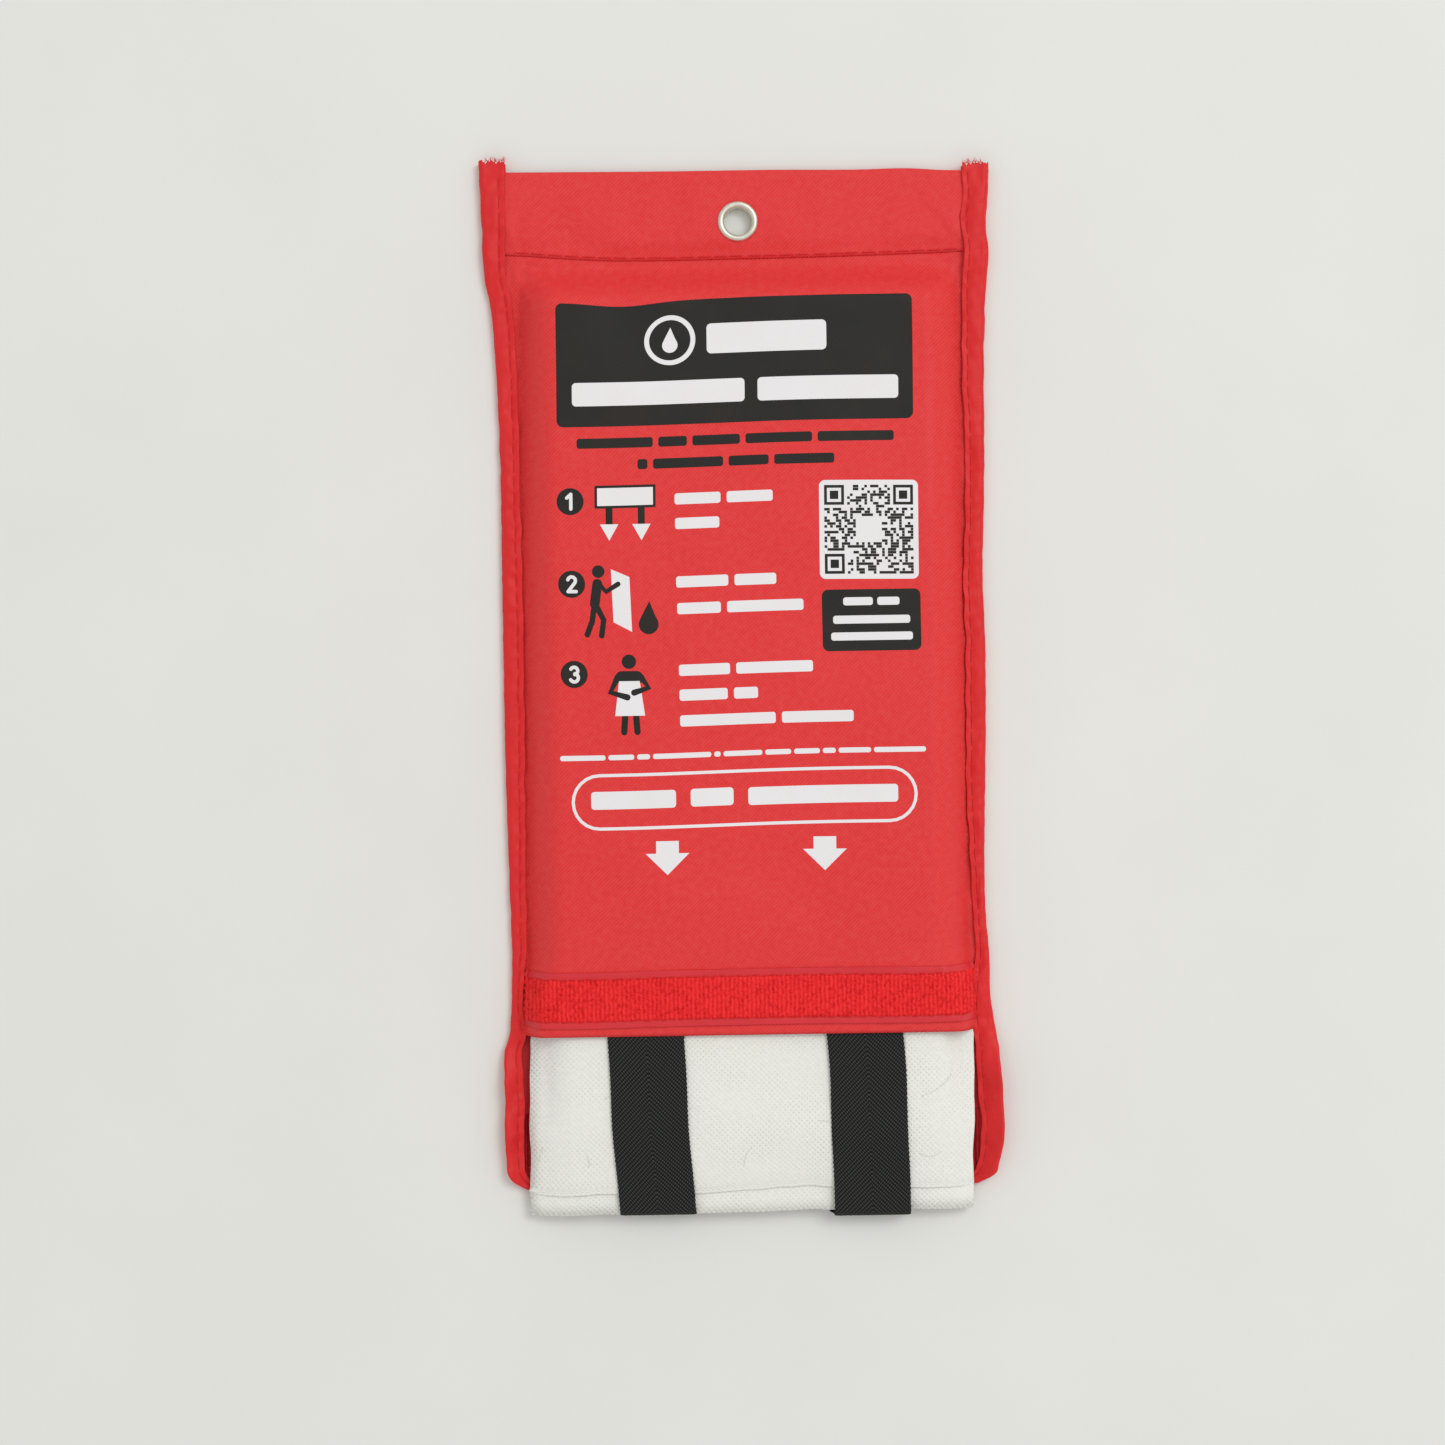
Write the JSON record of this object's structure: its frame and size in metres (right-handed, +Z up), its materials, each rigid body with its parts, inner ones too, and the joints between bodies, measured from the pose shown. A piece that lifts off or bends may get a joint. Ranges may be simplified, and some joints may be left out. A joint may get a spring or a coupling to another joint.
{
  "type": "fire blanket",
  "caption": "Folded glass-fibre fire blanket in a red hanging pouch, with black pull tabs, an eyelet and a flap that closes with hook and loop tape.",
  "frame": {"origin": "on the surface that the object lies on, under the middle of its outline", "axes": "+X across the pouch to the right as it is read, +Y along the pouch towards the eyelet, +Z up, out of the printed front"},
  "size_m": [0.1786, 0.369, 0.0166],
  "materials": {
    "pouch_cloth": "coated fine twill, semi-matt",
    "binding_tape": "smooth folded tape, low sheen",
    "loop_tape": "brushed loops",
    "hook_tape": "moulded hooks on woven tape",
    "glass_cloth": "open plain weave of glass yarn",
    "webbing": "herringbone webbing, matt",
    "red_thread": "sewing thread",
    "black_thread": "sewing thread",
    "eyelet_metal": "nickel plate, polished"
  },
  "bodies": {
    "pouch": {"back_panel": "pouch_cloth", "header_facing": "pouch_cloth", "front_panel": "pouch_cloth", "loop_tape": "loop_tape", "eyelet": "eyelet_metal", "eyelet_washer": "eyelet_metal", "binding_left": "binding_tape", "binding_right": "binding_tape", "binding_stitching_left": "red_thread", "binding_stitching_right": "red_thread", "header_stitching": "red_thread", "loop_stitching_upper": "red_thread", "loop_stitching_lower": "red_thread"},
    "flap": {"closing_flap": "pouch_cloth", "flap_hem": "pouch_cloth", "hook_tape": "hook_tape", "flap_binding_left": "binding_tape", "flap_binding_right": "binding_tape", "flap_binding_stitching_left": "red_thread", "flap_binding_stitching_right": "red_thread", "hook_stitching_upper": "red_thread", "hook_stitching_lower": "red_thread", "flap_hem_stitching": "red_thread"},
    "blanket": {"blanket_bundle": "glass_cloth", "blanket_tail": "glass_cloth", "pull_tab_left": "webbing", "pull_tab_right": "webbing", "pull_tab_stitching_left": "black_thread", "pull_tab_stitching_right": "black_thread"}
  },
  "joints": [
    {"name": "blanket_slide", "type": "slide", "parent": "pouch", "child": "blanket", "axis": [0, -1, 0], "range_m": [-0.01, 0.3]},
    {"name": "flap_fold", "type": "hinge", "parent": "pouch", "child": "flap", "pos_m": [0, -0.13375, 0.01], "axis": [-1, 0, 0], "range_deg": [0, 180], "deforming": ["blanket_tail", "pull_tab_left", "pull_tab_right"]}
  ]
}
